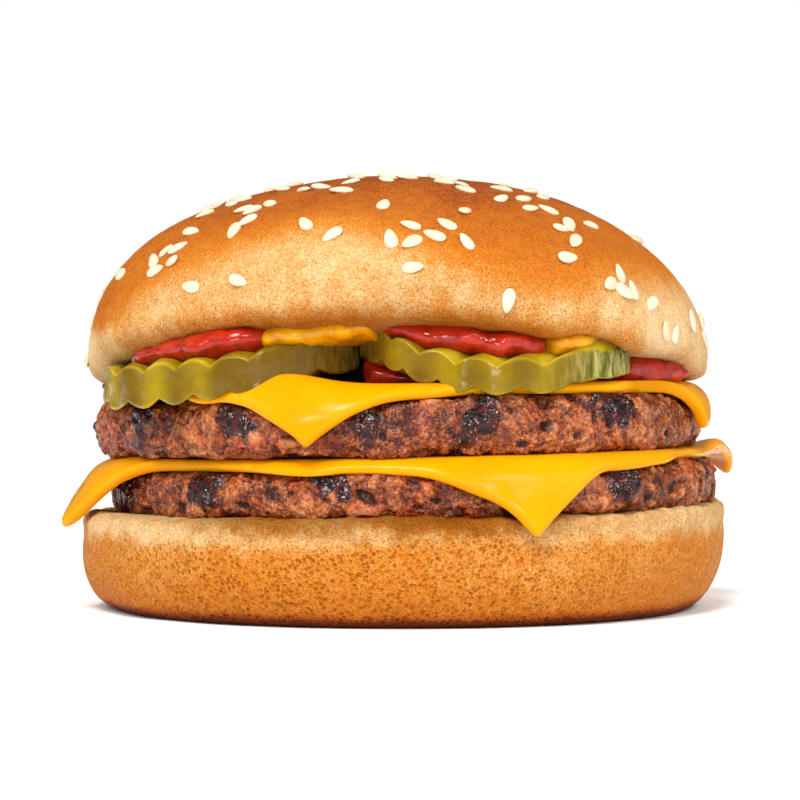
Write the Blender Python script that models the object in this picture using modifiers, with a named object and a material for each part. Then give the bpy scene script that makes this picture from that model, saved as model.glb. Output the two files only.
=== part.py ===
"""A double cheeseburger: a sesame bun closed over two patties, each under a square cheese slice,
with two crinkle-cut pickles, ketchup and mustard between the upper cheese and the bun's top.

Metres, +Z up. The front is -Y and the origin is the middle of the flat that the bun rests on.
An azimuth is measured about +Z from the front, -Y, and grows towards +X.
"""

import math

import bmesh
import bpy

# Gaps and slopes of the stack
GAP = 0.0003  # clear space between two pieces that touch
LOWER_SLOPE = 0.020  # the lower layers climb towards +X by this much
UPPER_SLOPE = 0.015  # the upper layers climb a little less

# Bun
BUN_RADIUS = 0.0518
HEEL_HEIGHT = 0.0161
HEEL_FLAT_RADIUS = 0.0452
HEEL_SHOULDER_RADIUS = 0.0497
HEEL_SHOULDER_HEIGHT = 0.0026  # of the rounded rim at its top
HEEL_RISE = 0.0100  # height over which its side turns in to the flat
HEEL_RINGS = (0.0300, 0.0250)  # inside its top and its flat
TOP_RADIUS = 0.0500
TOP_LEAN = 0.0006  # the dome stands this far towards -X
TOP_HEIGHT = 0.0691  # of its highest point above the table
TOP_FULLNESS = 2.06  # exponent of the dome's outline: 2 is an ellipse, more is fuller
TOP_BELLY = 0.18  # share of the dome's height at which it is widest
TOP_STEPS = 11  # rings from the apex to the widest
# The rim turns in below the widest: share of the radius, share of the dome's height
TOP_LIP = ((0.994, 0.08), (0.972, 0.022), (0.93, 0.0))
TOP_UNDERSIDE_RINGS = (0.0440, 0.0415, 0.0385)
TOP_SIDE_SAG = 0.0042  # how far the rim hangs below the filling at the sides
TOP_BACK_LIFT = 0.0018  # and how much less behind
TOP_SIDE = (0.25, 1.35)  # radians from the front between which the side's sag grows
TOP_BEHIND = (1.60, 2.60)  # and between which it lessens again
TOP_SAG_RADII = (0.0440, 0.0480)  # between which the underside bends down to the rim

# Patties
PATTY_RADIUS = 0.0492
LOWER_PATTY_THICKNESS = 0.0067
UPPER_PATTY_THICKNESS = 0.0083
PATTY_EDGE = 0.0033  # radius of the rounded rim
PATTY_RING = 0.0280  # inside its flat faces
PATTY_WOBBLE = ((2, 0.0004, 0.6), (3, 0.0005, 2.1), (5, 0.0003, 4.0))  # lobes, height, phase
LOWER_PATTY_MIDDLE = 0.0020  # on the X axis
UPPER_PATTY_MIDDLE = -0.0004

# Cheese slices
CHEESE_THICKNESS = 0.0019
CHEESE_BEND = 0.0047  # radius of the bend over the patty's rim
CHEESE_STAND_OFF = 0.0017  # from the patty's outline to the middle of the hanging cheese
CHEESE_CELLS = 24
CHEESE_EDGE_BIAS = 0.75  # under 1, the cells are finer near the slice's edges

# Pickles
PICKLE_THICKNESS = 0.0048
PICKLE_WAVE = 0.0006
PICKLE_WAVE_LENGTH = 0.0062
PICKLE_BLUNTNESS = 0.9  # 1 would bring the ends of its oval to points
PICKLE_CELLS = (28, 5)
PICKLE_DROOP = 0.30  # slope at which a pickle sags past the cheese's edge
PICKLE_DROOP_START = 0.0020  # past the edge
PICKLE_DROOP_EASE = 0.0020

# Sauces
KETCHUP_THICKNESS = 0.0012
MUSTARD_THICKNESS = 0.0008
SAUCE_RADIUS = 0.0385
SAUCE_EDGE = ((0.4, 1), (0.8, 1), (1, 0.5), (0.8, 0), (0.4, 0))  # shares of its rim and thickness
FILLING_RINGS = (0.0355, 0.0270, 0.0185, 0.0090)  # shared by the sauces and the bun over them

# Where the sauces lie on the pickles: behind and beside this they come down onto the cheese
COVER_FRONT = (-0.0160, 0.0080)  # distance forward, over which they climb
COVER_SIDE = (0.0375, 0.0470)  # along X, over which they come down
LEFT_END_LIFT = 0.0012  # how much higher they lie where the pickles meet
LIFT_FRONT = (0.0080, 0.0340)
LIFT_MIDDLE = 0.0040  # towards -X
LIFT_SIDES = (0.0020, 0.0260)

TURN_STEPS = 48
TURN_MERGE = 0.00001
EDGE_ANGLE = math.radians(50)  # edges that turn by more than this stay crisp

# Levels of the stack on the Z axis
LOWER_PATTY_BASE = HEEL_HEIGHT + GAP
LOWER_CHEESE_BASE = LOWER_PATTY_BASE + LOWER_PATTY_THICKNESS + GAP
UPPER_PATTY_BASE = LOWER_CHEESE_BASE + CHEESE_THICKNESS + GAP
UPPER_CHEESE_BASE = UPPER_PATTY_BASE + UPPER_PATTY_THICKNESS + GAP
UPPER_CHEESE_TOP = UPPER_CHEESE_BASE + CHEESE_THICKNESS
PICKLE_LAYER = PICKLE_THICKNESS + 2 * PICKLE_WAVE
SAUCE_LAYER = KETCHUP_THICKNESS + MUSTARD_THICKNESS + 4 * GAP

# Each slice: where its middle is, the azimuth of its front corner, and the patty that it hangs
# over. Its hanging part leans out from the vertical by the flare. Each of its corners may flare
# more, and may bend further out from the patty: (azimuth, flare, distance).
LOWER_SLICE = {
    "half_side": 0.0431,
    "middle": (0.0014, 0.0016),
    "corner": math.radians(19.5),
    "patty_middle": LOWER_PATTY_MIDDLE,
    "flare": math.radians(20),
    "corners": (
        (math.radians(-72), math.radians(20), 0),
        (math.radians(111), 0, 0.0050),
    ),
}
UPPER_SLICE = {
    "half_side": 0.0395,
    "middle": (0.0006, -0.0025),
    "corner": math.radians(-16.5),
    "patty_middle": UPPER_PATTY_MIDDLE,
    "flare": math.radians(5),
    "corners": (),
}
CORNER_WIDTH = 0.35  # radians: how wide a corner's own shape spreads

# Each pickle: its middle, half its length and width, the azimuth that its long side faces,
# the phase of its waves, and how steeply it rises along its length.
LEFT_PICKLE = {
    "middle": (-0.0263, -0.0243),
    "half": (0.0215, 0.0156),
    "faces": math.radians(-46),
    "phase": 1.2,
    "tilt": 0.03,
}
RIGHT_PICKLE = {
    "middle": (0.0150, -0.0306),
    "half": (0.0208, 0.0142),
    "faces": math.radians(26),
    "phase": 0.4,
    "tilt": -0.05,
}

# Azimuth and half width in degrees of each lobe of sauce, and how much further out it reaches
KETCHUP_LOBES = ((-40, 14, 0.0053), (10, 16, 0.0090), (54, 10, 0.0045), (120, 22, 0.0040), (-150, 24, 0.0040))
MUSTARD_LOBES = ((-16, 11, 0.0095), (33, 9, 0.0065), (-100, 16, 0.0040), (160, 20, 0.0040))


def smooth_step(value, start, end):
    """0 before start, 1 after end, with a smooth rise between."""
    t = min(1.0, max(0.0, (value - start) / (end - start)))
    return t * t * (3 - 2 * t)


def azimuth_of(x, y):
    return math.atan2(x, -y)


def turn_between(a, b):
    """The angle from b to a, from -pi to pi."""
    return (a - b + math.pi) % (2 * math.pi) - math.pi


def hump(azimuth, middle, half_width):
    """1 at the middle azimuth, falling to 0 smoothly over about the half width."""
    return math.exp(-((turn_between(azimuth, middle) / half_width) ** 2))


def patty_outline(azimuth):
    wobble = sum(height * math.sin(lobes * azimuth + phase) for lobes, height, phase in PATTY_WOBBLE)
    return PATTY_RADIUS + wobble


# ---------------------------------------------------------------- surfaces inside the stack


def pickle_droop(x, y):
    """How far the pickles sag where they reach past the upper slice's two front edges."""
    dx, dy = x - UPPER_SLICE["middle"][0], y - UPPER_SLICE["middle"][1]
    past = max(edge_distance(dx, dy, UPPER_SLICE["corner"] + turn) for turn in (-math.pi / 4, math.pi / 4))
    past -= UPPER_SLICE["half_side"] + PICKLE_DROOP_START
    return PICKLE_DROOP * (past + math.hypot(past, PICKLE_DROOP_EASE)) / 2


def edge_distance(dx, dy, azimuth):
    return dx * math.sin(azimuth) - dy * math.cos(azimuth)


def pickle_middle(x, y, pickle):
    """Height of the middle of a pickle's thickness, without its waves."""
    along = along_pickle(x, y, pickle)
    rest = UPPER_CHEESE_TOP + UPPER_SLOPE * x + GAP + PICKLE_LAYER / 2
    lifted = max(0.0, pickle["tilt"] * along)
    return rest + lifted - pickle_droop(x, y)


def along_pickle(x, y, pickle):
    """Distance along the pickle's length from its middle, growing towards +X."""
    dx, dy = x - pickle["middle"][0], y - pickle["middle"][1]
    return dx * math.cos(pickle["faces"]) + dy * math.sin(pickle["faces"])


def pickle_cover(x, y):
    """1 over the pickles at the front, 0 where the sauce lies on the cheese."""
    return smooth_step(-y, *COVER_FRONT) * (1 - smooth_step(x, *COVER_SIDE))


def sauce_bed(x, y):
    """Underside of the ketchup: it lies over the pickles in front and on the cheese behind."""
    cheese = UPPER_CHEESE_TOP + UPPER_SLOPE * x + GAP
    beside = 1 - smooth_step(abs(x + LIFT_MIDDLE), *LIFT_SIDES)
    lift = LEFT_END_LIFT * smooth_step(-y, *LIFT_FRONT) * beside
    return cheese + pickle_cover(x, y) * (PICKLE_LAYER + GAP + lift - pickle_droop(x, y))


def top_rim_sag(azimuth):
    """How far the rim of the bun's top hangs below its underside: most at the sides, none in front."""
    side = smooth_step(abs(azimuth), *TOP_SIDE)
    behind = smooth_step(abs(azimuth), *TOP_BEHIND)
    return TOP_SIDE_SAG * side - TOP_BACK_LIFT * behind


def top_underside(x, y):
    """Underside of the bun's top, which drapes over the sauces and sags at its rim."""
    radius = math.hypot(x, y)
    rest = sauce_bed(x, y) + SAUCE_LAYER
    sagged = rest - top_rim_sag(azimuth_of(x, y)) * smooth_step(radius, *TOP_SAG_RADII)
    return max(sagged, UPPER_CHEESE_TOP + UPPER_SLOPE * x + 2 * GAP)


# ---------------------------------------------------------------- Blender helpers


def clear_scene():
    for old in list(bpy.data.objects):
        bpy.data.objects.remove(old, do_unlink=True)


def food_material(name, color, roughness):
    material = bpy.data.materials.new(name)
    material.use_nodes = True
    shader = material.node_tree.nodes["Principled BSDF"]
    shader.inputs["Base Color"].default_value = (*color, 1)
    shader.inputs["Roughness"].default_value = roughness
    shader.inputs["Metallic"].default_value = 0
    material.diffuse_color = (*color, 1)
    return material


def link(name, mesh):
    made = bpy.data.objects.new(name, mesh)
    burger.objects.link(made)
    return made


def finished(name, mesh, place, material):
    """The mesh as an object, each of its points moved by place(x, y, z)."""
    for vertex in mesh.vertices:
        vertex.co = place(*vertex.co)
    mesh.materials.clear()
    mesh.materials.append(material)
    mesh.shade_smooth()
    mesh.set_sharp_from_angle(angle=EDGE_ANGLE)
    return link(name, mesh)


def turned(name, profile, place, material):
    """A closed body turned from (radius, height) pairs, from its top centre to its bottom centre."""
    outline = bpy.data.meshes.new(name)
    edges = [(i, i + 1) for i in range(len(profile) - 1)]
    outline.from_pydata([(radius, 0, height) for radius, height in profile], edges, [])
    guide = link(name + "_guide", outline)
    screw = guide.modifiers.new("Turn", "SCREW")
    screw.steps = TURN_STEPS
    screw.render_steps = TURN_STEPS
    screw.use_merge_vertices = True
    screw.merge_threshold = TURN_MERGE
    graph = bpy.context.evaluated_depsgraph_get()
    mesh = bpy.data.meshes.new_from_object(guide.evaluated_get(graph))
    bpy.data.objects.remove(guide)
    return finished(name, mesh, place, material)


def sheet(name, cells, thickness, place, material):
    """A grid from -1 to 1 each way, placed as the middle of a sheet and thickened."""
    grid = bmesh.new()
    bmesh.ops.create_grid(grid, x_segments=cells[0], y_segments=cells[1], size=1)
    mesh = bpy.data.meshes.new(name)
    grid.to_mesh(mesh)
    grid.free()
    made = finished(name, mesh, place, material)
    solidify = made.modifiers.new("Thickness", "SOLIDIFY")
    solidify.thickness = thickness
    solidify.offset = 0
    return made


# ---------------------------------------------------------------- pieces


def rounded_corner(radius, height, corner_x, corner_z, up, steps=5):
    """Points of a quarter ellipse at a turned body's rim, from its top or side end to the other."""
    points = []
    for i in range(steps + 1):
        turn = math.pi / 2 * i / steps
        if up:
            out = corner_x * math.sin(turn)
            level = height - corner_z + corner_z * math.cos(turn)
        else:
            out = corner_x * math.cos(turn)
            level = height + corner_z - corner_z * math.sin(turn)
        points.append((radius - corner_x + out, level))
    return points


def make_heel():
    shoulder = BUN_RADIUS - HEEL_SHOULDER_RADIUS
    turned_in = BUN_RADIUS - HEEL_FLAT_RADIUS
    above = rounded_corner(BUN_RADIUS, HEEL_HEIGHT, shoulder, HEEL_SHOULDER_HEIGHT, up=True, steps=4)
    below = rounded_corner(BUN_RADIUS, 0, turned_in, HEEL_RISE, up=False, steps=6)
    inner_top, inner_flat = HEEL_RINGS
    profile = [(0, HEEL_HEIGHT), (inner_top, HEEL_HEIGHT), *above, *below, (inner_flat, 0), (0, 0)]

    def place(x, y, z):
        return x, y, z * (1 + LOWER_SLOPE * x / HEEL_HEIGHT)

    return turned("bun_bottom", profile, place, BUN)


def make_patty(name, base, thickness, slope, middle):
    top = rounded_corner(PATTY_RADIUS, thickness, PATTY_EDGE, PATTY_EDGE, up=True, steps=4)
    bottom = rounded_corner(PATTY_RADIUS, 0, PATTY_EDGE, PATTY_EDGE, up=False, steps=4)
    profile = [(0, thickness), (PATTY_RING, thickness), *top, *bottom, (PATTY_RING, 0), (0, 0)]

    def place(x, y, z):
        swell = patty_outline(azimuth_of(x, y)) / PATTY_RADIUS
        x, y = middle + x * swell, y * swell
        return x, y, base + z + slope * x

    return turned(name, profile, place, MEAT)


def make_cheese(name, slice_, base, slope):
    """A square slice laid on a patty, its overhang bent over the rim and hanging."""
    half_side = slice_["half_side"]
    turn = slice_["corner"] - math.pi / 4
    middle_height = base + CHEESE_THICKNESS / 2
    middle_x, middle_y = slice_["middle"]

    def spread(u):
        return math.copysign(abs(u) ** CHEESE_EDGE_BIAS, u) * half_side

    def place(u, v, _):
        flat_x, flat_y = spread(u), spread(v)
        x = middle_x - slice_["patty_middle"] + flat_x * math.cos(turn) - flat_y * math.sin(turn)
        y = middle_y + flat_x * math.sin(turn) + flat_y * math.cos(turn)
        out, azimuth = math.hypot(x, y), azimuth_of(x, y)
        radius, drop = hanging(out, azimuth, slice_)
        x = slice_["patty_middle"] + radius * math.sin(azimuth)
        return x, -radius * math.cos(azimuth), middle_height - drop + slope * x

    return sheet(name, (CHEESE_CELLS, CHEESE_CELLS), CHEESE_THICKNESS, place, CHEESE)


def hanging(out, azimuth, slice_):
    """(radius, drop) of the cheese's point that lies that far out when flat."""
    wall = patty_outline(azimuth) + CHEESE_STAND_OFF
    flare = slice_["flare"]
    for at, more_flare, further in slice_["corners"]:
        share = hump(azimuth, at, CORNER_WIDTH)
        flare += more_flare * share
        wall += further * share
    bend_start = wall - CHEESE_BEND
    if out <= bend_start:
        return out, 0
    bend_angle = math.pi / 2 - flare
    past = out - bend_start
    bent = min(past, CHEESE_BEND * bend_angle)
    angle = bent / CHEESE_BEND
    radius = bend_start + CHEESE_BEND * math.sin(angle)
    drop = CHEESE_BEND * (1 - math.cos(angle))
    straight = past - bent
    return radius + straight * math.sin(flare), drop + straight * math.cos(flare)


def make_pickle(name, pickle):
    """An oval slice with crinkled faces and blunt ends."""
    half_length, half_width = pickle["half"]
    middle_x, middle_y = pickle["middle"]
    faces = pickle["faces"]

    def place(u, v, _):
        along = u * half_length
        across = v * half_width * math.sqrt(1 - PICKLE_BLUNTNESS * u * u)
        x = middle_x + along * math.cos(faces) - across * math.sin(faces)
        y = middle_y + along * math.sin(faces) + across * math.cos(faces)
        wave = PICKLE_WAVE * math.sin(2 * math.pi * along / PICKLE_WAVE_LENGTH + pickle["phase"])
        return x, y, pickle_middle(x, y, pickle) + wave

    return sheet(name, PICKLE_CELLS, PICKLE_THICKNESS, place, PICKLE)


def make_sauce(name, lobes, level, thickness, material):
    """A layer that follows the bed under it, reaching out to the rim in lobes."""
    inner = FILLING_RINGS[0]
    margin = SAUCE_RADIUS - inner
    edge = [(inner + share * margin, height) for share, height in SAUCE_EDGE]
    above = [(radius, 1) for radius in reversed(FILLING_RINGS)]
    below = [(radius, 0) for radius in FILLING_RINGS]
    profile = [(0, 1), *above, *edge, *below, (0, 0)]

    def lobe_reach(azimuth):
        return max(far * hump(azimuth, math.radians(at), math.radians(half)) for at, half, far in lobes)

    def place(x, y, z):
        radius, azimuth = math.hypot(x, y), azimuth_of(x, y)
        if radius > inner + GAP / 10:
            reach = lobe_reach(azimuth)
            stretched = inner + (radius - inner) * (margin + reach) / margin
            x, y = x * stretched / radius, y * stretched / radius
        return x, y, sauce_bed(x, y) + level + z * thickness

    return turned(name, profile, place, material)


def dome_profile():
    """(radius, share of the height) pairs of the bun's top, from its apex to its widest."""
    points = []
    for i in range(TOP_STEPS + 1):
        out = math.sin(math.pi / 2 * i / TOP_STEPS)
        rise = (1 - min(1, out) ** TOP_FULLNESS) ** (1 / TOP_FULLNESS)
        points.append((out * TOP_RADIUS, TOP_BELLY + (1 - TOP_BELLY) * rise))
    return points


def make_top():
    """A dome whose underside follows the filling, its rim sagging round the sides."""
    lip = [(share * TOP_RADIUS, height) for share, height in TOP_LIP]
    rim, _ = lip[-1]
    underside = [(radius, 0) for radius in (*TOP_UNDERSIDE_RINGS, *FILLING_RINGS, 0)]
    profile = dome_profile() + lip + underside

    def place(x, y, z):
        if z == 0:
            return x, y, top_underside(x, y)
        azimuth = azimuth_of(x, y)
        below = top_underside(rim * math.sin(azimuth), -rim * math.cos(azimuth))
        return x - TOP_LEAN, y, below + z * (TOP_HEIGHT - below)

    return turned("bun_top", profile, place, BUN)


clear_scene()
burger = bpy.data.collections.new("double_cheeseburger")
bpy.context.scene.collection.children.link(burger)

BUN = food_material("bun", (0.62, 0.33, 0.11), 0.6)
MEAT = food_material("patty", (0.19, 0.075, 0.035), 0.55)
CHEESE = food_material("cheese", (0.95, 0.55, 0.02), 0.3)
PICKLE = food_material("pickle", (0.33, 0.31, 0.04), 0.3)
KETCHUP = food_material("ketchup", (0.55, 0.02, 0.01), 0.2)
MUSTARD = food_material("mustard", (0.9, 0.5, 0.02), 0.3)

make_heel()
make_patty("patty_lower", LOWER_PATTY_BASE, LOWER_PATTY_THICKNESS, LOWER_SLOPE, LOWER_PATTY_MIDDLE)
make_cheese("cheese_lower", LOWER_SLICE, LOWER_CHEESE_BASE, LOWER_SLOPE)
make_patty("patty_upper", UPPER_PATTY_BASE, UPPER_PATTY_THICKNESS, UPPER_SLOPE, UPPER_PATTY_MIDDLE)
make_cheese("cheese_upper", UPPER_SLICE, UPPER_CHEESE_BASE, UPPER_SLOPE)
make_pickle("pickle_left", LEFT_PICKLE)
make_pickle("pickle_right", RIGHT_PICKLE)
make_sauce("ketchup", KETCHUP_LOBES, GAP, KETCHUP_THICKNESS, KETCHUP)
make_sauce("mustard", MUSTARD_LOBES, 2 * GAP + KETCHUP_THICKNESS, MUSTARD_THICKNESS, MUSTARD)
make_top()
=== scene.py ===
"""Looks of the double cheeseburger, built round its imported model.

Every piece is modelled here in millimetres and turned to metres when its mesh is made. The front
is -Y. An azimuth is in degrees about +Z from the front, growing towards +X.
"""

import itertools
import math

import bpy
import numpy as np
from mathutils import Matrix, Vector


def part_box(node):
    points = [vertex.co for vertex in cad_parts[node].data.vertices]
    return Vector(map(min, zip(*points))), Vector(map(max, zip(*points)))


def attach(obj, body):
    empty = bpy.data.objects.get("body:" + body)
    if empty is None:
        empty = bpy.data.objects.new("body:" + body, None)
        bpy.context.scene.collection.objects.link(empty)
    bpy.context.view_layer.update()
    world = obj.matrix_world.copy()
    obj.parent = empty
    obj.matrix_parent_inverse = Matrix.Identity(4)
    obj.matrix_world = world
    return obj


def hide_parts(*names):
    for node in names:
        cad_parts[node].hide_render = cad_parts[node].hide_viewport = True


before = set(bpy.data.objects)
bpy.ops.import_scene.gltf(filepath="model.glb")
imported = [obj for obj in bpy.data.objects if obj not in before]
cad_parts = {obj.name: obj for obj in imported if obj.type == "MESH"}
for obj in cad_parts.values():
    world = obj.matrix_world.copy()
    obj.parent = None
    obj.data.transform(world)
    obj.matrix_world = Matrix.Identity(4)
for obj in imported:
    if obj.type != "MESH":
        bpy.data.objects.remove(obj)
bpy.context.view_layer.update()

MM = 0.001

# The stack, as the solids have it
LOWER_SLOPE = 0.020  # the lower layers climb towards +X
UPPER_SLOPE = 0.015
GAP = 0.3
PATTY_CORNER = 3.3  # radius of a patty's rim in the solids
PATTY_WOBBLE = ((2, 0.4, 0.6), (3, 0.5, 2.1), (5, 0.3, 4.0))  # lobes, height, phase
CHEESE_THICKNESS = 1.9

# How finely the round pieces are cut
AROUND = 760
PATTY_AROUND = 900


# ---- numbers


def box_mm(node):
    low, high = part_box(node)
    return np.array(low) / MM, np.array(high) / MM


def smooth_step(value, start, end):
    t = np.clip((value - start) / (end - start), 0, 1)
    return t * t * (3 - 2 * t)


def azimuth_of(x, y):
    return np.degrees(np.arctan2(x, -y))


def turn_between(a, b):
    """Degrees from b to a, from -180 to 180."""
    return (a - b + 180) % 360 - 180


def hump(azimuth, middle, half_width):
    """1 at the middle azimuth, falling smoothly to about a third at the half width."""
    return np.exp(-((turn_between(azimuth, middle) / half_width) ** 2))


def humps(azimuth, *bumps):
    """Several humps added: each its height, its middle azimuth and its half width."""
    return sum(height * hump(azimuth, middle, half_width) for height, middle, half_width in bumps)


def out_at(azimuth, reach):
    """x and y of what lies that far out at an azimuth."""
    return reach * np.sin(np.radians(azimuth)), -reach * np.cos(np.radians(azimuth))


def unit(vectors):
    """Vectors (..., 3) scaled to length 1."""
    return vectors / np.maximum(np.linalg.norm(vectors, axis=-1, keepdims=True), 1e-9)


def signed_power(value, power):
    """A power of the value's size that keeps its sign, for outlines squarer than a circle."""
    return np.sign(value) * np.abs(value) ** power


def lattice_random(cells, seed):
    """A repeatable number from 0 to 1 for each whole-number cell in an array (..., 3)."""
    x, y, z = (cells[..., axis].astype(np.int64) for axis in range(3))
    mixed = ((x * 73856093) ^ (y * 19349663) ^ (z * 83492791) ^ (seed * 2654435761)) & 0xFFFFFFFF
    mixed = ((mixed ^ (mixed >> 15)) * 2246822519) & 0xFFFFFFFF
    mixed = ((mixed ^ (mixed >> 13)) * 3266489917) & 0xFFFFFFFF
    return ((mixed ^ (mixed >> 16)) & 0xFFFFFF) / float(0xFFFFFF)


def noise(points, size, seed):
    """Smooth noise from -1 to 1 with features about size mm across."""
    scaled = points / size
    base = np.floor(scaled)
    share = scaled - base
    share = share * share * share * (share * (share * 6 - 15) + 10)
    total = 0
    for corner in itertools.product((0, 1), repeat=3):
        weight = np.prod(np.where(corner, share, 1 - share), axis=-1)
        total = total + weight * lattice_random(base + corner, seed)
    return 2 * total - 1


def noises(points, *layers):
    """Several noises added: each its height, its size in mm and its seed."""
    return sum(height * noise(points, size, seed) for height, size, seed in layers)


def rough_noise(points, size, seed):
    """Noise with two finer and fainter copies of itself added."""
    return noises(points, *((0.5**n, size / 2**n, seed + n) for n in range(3)))


def grains(points, size, seed):
    """Distances to the two nearest of scattered grains, in sizes, and the nearest one's number."""
    scaled = points / size
    base = np.floor(scaled)
    nearest = np.full(points.shape[:-1], 9.0)
    second = nearest.copy()
    number = np.zeros_like(nearest)
    for step in itertools.product((-1, 0, 1), repeat=3):
        cell = base + step
        centre = cell + np.stack([lattice_random(cell, seed + axis) for axis in range(3)], axis=-1)
        distance = np.linalg.norm(scaled - centre, axis=-1)
        closer = distance < nearest
        second = np.where(closer, nearest, np.minimum(second, distance))
        number = np.where(closer, lattice_random(cell, seed + 7), number)
        nearest = np.where(closer, distance, nearest)
    return nearest, second, number


# ---- meshes


def link_object(name, data):
    made = bpy.data.objects.new(name, data)
    bpy.context.scene.collection.objects.link(made)
    return made


def make_piece(name, points, faces, material, replaced, attributes=None):
    """A smooth mesh of these points, in mm, that rides on the burger's body."""
    mesh = bpy.data.meshes.new(name)
    mesh.from_pydata((np.asarray(points) * MM).tolist(), [], faces)
    for label, values in (attributes or {}).items():
        layer = mesh.attributes.new(label, "FLOAT", "POINT")
        layer.data.foreach_set("value", np.asarray(values, np.float32).ravel())
    mesh.materials.append(material)
    mesh.shade_smooth()
    piece = link_object(name, mesh)
    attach(piece, "root")
    if replaced:
        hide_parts(*replaced)


def ring_faces(rings, around, start=0):
    """Faces of a closed body of rings that starts and ends with a pole."""
    first = start + 1
    index = first + np.arange(rings * around).reshape(rings, around)
    following = np.roll(index, -1, axis=1)
    quads = np.stack([index[:-1], index[1:], following[1:], following[:-1]], axis=-1).reshape(-1, 4)
    top = [(start, int(a), int(b)) for a, b in zip(index[0], following[0])]
    last = first + rings * around
    bottom = [(last, int(b), int(a)) for a, b in zip(index[-1], following[-1])]
    return top + quads.tolist() + bottom


def with_poles(points):
    """Points (rings, around, 3) as a list, with the middles of the end rings as poles."""
    return np.concatenate([points[0].mean(0)[None], points.reshape(-1, 3), points[-1].mean(0)[None]])


def join_bodies(bodies):
    """Points and faces of closed bodies of rings (rings, around, 3), as one mesh."""
    points, faces, count = [], [], 0
    for body in bodies:
        points.append(with_poles(body))
        faces += ring_faces(body.shape[0], body.shape[1], count)
        count += len(points[-1])
    return np.concatenate(points), faces


def make_rings(name, points, material, slot, node, **fields):
    """A piece that is one closed body of rings, with values at the rings' points by name."""
    attributes = {
        label: np.concatenate([[values[0].mean()], values.ravel(), [values[-1].mean()]])
        for label, values in fields.items()
    }
    faces = ring_faces(points.shape[0], points.shape[1])
    make_piece(name, with_poles(points), faces, material, [node], attributes)


def ring_normals(points):
    """Outward normals of points (rings, around, 3), whose rings run from top to bottom."""
    down = np.gradient(points, axis=0)
    along = np.roll(points, -1, axis=1) - np.roll(points, 1, axis=1)
    return unit(np.cross(down, along))


def push_out(points, distance):
    """Rings of points with each point moved outwards by its own distance."""
    return points + ring_normals(points) * distance[..., None]


def ring_points(radius, height, around):
    """Points of rings: radius and height are arrays (rings, 1) or (rings, around)."""
    x, y = out_at(ring_azimuths(around), radius)
    return np.stack([x, y, height + 0 * x], axis=-1)


def full_turn(around):
    """Angles once round, in radians."""
    return np.linspace(0, 2 * math.pi, around, endpoint=False)[None, :]


def ring_azimuths(around):
    turn = np.linspace(0, 360, around, endpoint=False)
    return np.where(turn > 180, turn - 360, turn)[None, :]


# ---- shaders


class Shader:
    """A material's nodes. Sizes are in millimetres of the object."""

    def __init__(self, name, **constants):
        self.material = bpy.data.materials.new(name)
        self.material.use_nodes = True
        self.tree = self.material.node_tree
        self.surface = self.tree.nodes["Principled BSDF"]
        self.surface.inputs["Subsurface Scale"].default_value = MM
        for socket, value in constants.items():
            self.surface.inputs[socket.replace("_", " ")].default_value = value
        self.place = self.add("ShaderNodeTexCoord").outputs["Object"]

    def add(self, kind, inputs=None, **settings):
        made = self.tree.nodes.new(kind)
        for key, value in settings.items():
            setattr(made, key, value)
        for key, value in (inputs or {}).items():
            self.feed(made.inputs[key], value)
        return made

    def feed(self, socket, value):
        if isinstance(value, bpy.types.NodeSocket):
            self.tree.links.new(value, socket)
        else:
            socket.default_value = value

    def attribute(self, name):
        return self.add("ShaderNodeAttribute", attribute_name=name).outputs["Fac"]

    def stretched(self, x, y, z):
        inputs = {"Vector": self.place, "Scale": (x, y, z)}
        return self.add("ShaderNodeMapping", inputs).outputs["Vector"]

    def noise(self, size, detail, roughness=0.55, place=None):
        inputs = {"Vector": place or self.place, "Scale": 1 / (size * MM)}
        inputs.update({"Detail": detail, "Roughness": roughness})
        return self.add("ShaderNodeTexNoise", inputs).outputs["Fac"]

    def cells(self, size):
        inputs = {"Vector": self.place, "Scale": 1 / (size * MM)}
        return self.add("ShaderNodeTexVoronoi", inputs).outputs["Distance"]

    def math(self, operation, result, *values):
        for value in values:
            made = self.add("ShaderNodeMath", {0: result, 1: value}, operation=operation)
            result = made.outputs[0]
        return result

    def spread(self, value, low, high, to_low=0.0, to_high=1.0):
        inputs = {"Value": value, "From Min": low, "From Max": high, "To Min": to_low, "To Max": to_high}
        return self.add("ShaderNodeMapRange", inputs).outputs["Result"]

    def mottle(self, amount, size, detail=3.0, roughness=0.55):
        """Noise that strays by about the amount to either side of 0."""
        return self.spread(self.noise(size, detail, roughness), 0.3, 0.7, -amount, amount)

    def ramp(self, value, *stops):
        made = self.add("ShaderNodeValToRGB", {"Fac": value})
        elements = made.color_ramp.elements
        while len(elements) < len(stops):
            elements.new(1.0)
        for element, (position, color) in zip(elements, stops):
            element.position = position
            element.color = (*color, 1)
        return made.outputs["Color"]

    def mix(self, share, a, b, blend="MIX"):
        made = self.add("ShaderNodeMix", data_type="RGBA", blend_type=blend)
        self.feed(made.inputs["Factor"], share)
        for socket, value in ((made.inputs[6], a), (made.inputs[7], b)):
            self.feed(socket, value if isinstance(value, bpy.types.NodeSocket) else (*value, 1))
        return made.outputs[2]

    def bump(self, height, distance, strength, normal=None):
        if isinstance(distance, bpy.types.NodeSocket):
            distance = self.math("MULTIPLY", distance, MM)
        else:
            distance = distance * MM
        inputs = {"Height": height, "Distance": distance, "Strength": strength}
        if normal:
            inputs["Normal"] = normal
        return self.add("ShaderNodeBump", inputs).outputs["Normal"]

    def set(self, **sockets):
        for name, value in sockets.items():
            self.feed(self.surface.inputs[name.replace("_", " ")], value)
        return self.material


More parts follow.
